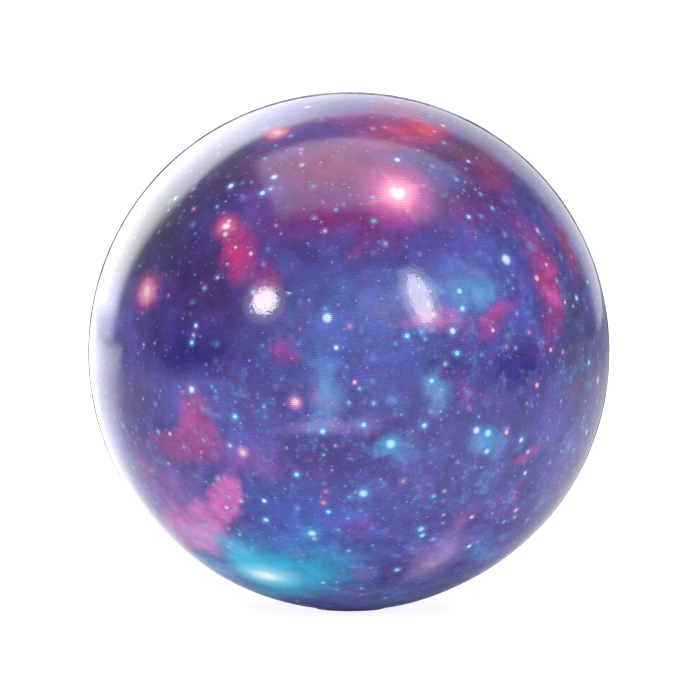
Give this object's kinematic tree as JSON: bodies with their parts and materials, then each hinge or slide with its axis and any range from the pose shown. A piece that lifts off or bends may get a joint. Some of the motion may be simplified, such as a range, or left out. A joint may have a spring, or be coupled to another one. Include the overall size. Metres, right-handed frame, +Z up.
{
  "type": "stress ball",
  "caption": "Round soft foam stress ball covered in a glossy printed film with a thin seam; it squeezes from front to back and springs back.",
  "frame": {"origin": "middle of the trimmed pour gate's flat, on which the ball stands, straight under the ball's centre", "axes": "+Z up; -Y is the front, the pole of the front print film, and +Y the rear; X and Z lie in the seam plane"},
  "size_m": [0.0638, 0.0636, 0.0635],
  "materials": {
    "soft_foam": "matte",
    "dense_foam": "matte",
    "front_print": "gloss",
    "rear_print": "gloss",
    "clear_gloss": "gloss"
  },
  "bodies": {
    "rear_half": {"foam_core": "soft_foam", "foam_skin": "dense_foam", "rear_print_film": "rear_print", "rear_gloss_coat": "clear_gloss"},
    "front_half": {"front_print_film": "front_print", "front_gloss_coat": "clear_gloss"}
  },
  "joints": [
    {"name": "squeeze", "type": "slide", "parent": "rear_half", "child": "front_half", "axis": [0, 1, 0], "range_m": [0, 0.025], "stiffness_N_per_m": 2500, "deforming": ["foam_core", "foam_skin", "rear_print_film", "rear_gloss_coat", "front_print_film", "front_gloss_coat"]}
  ]
}
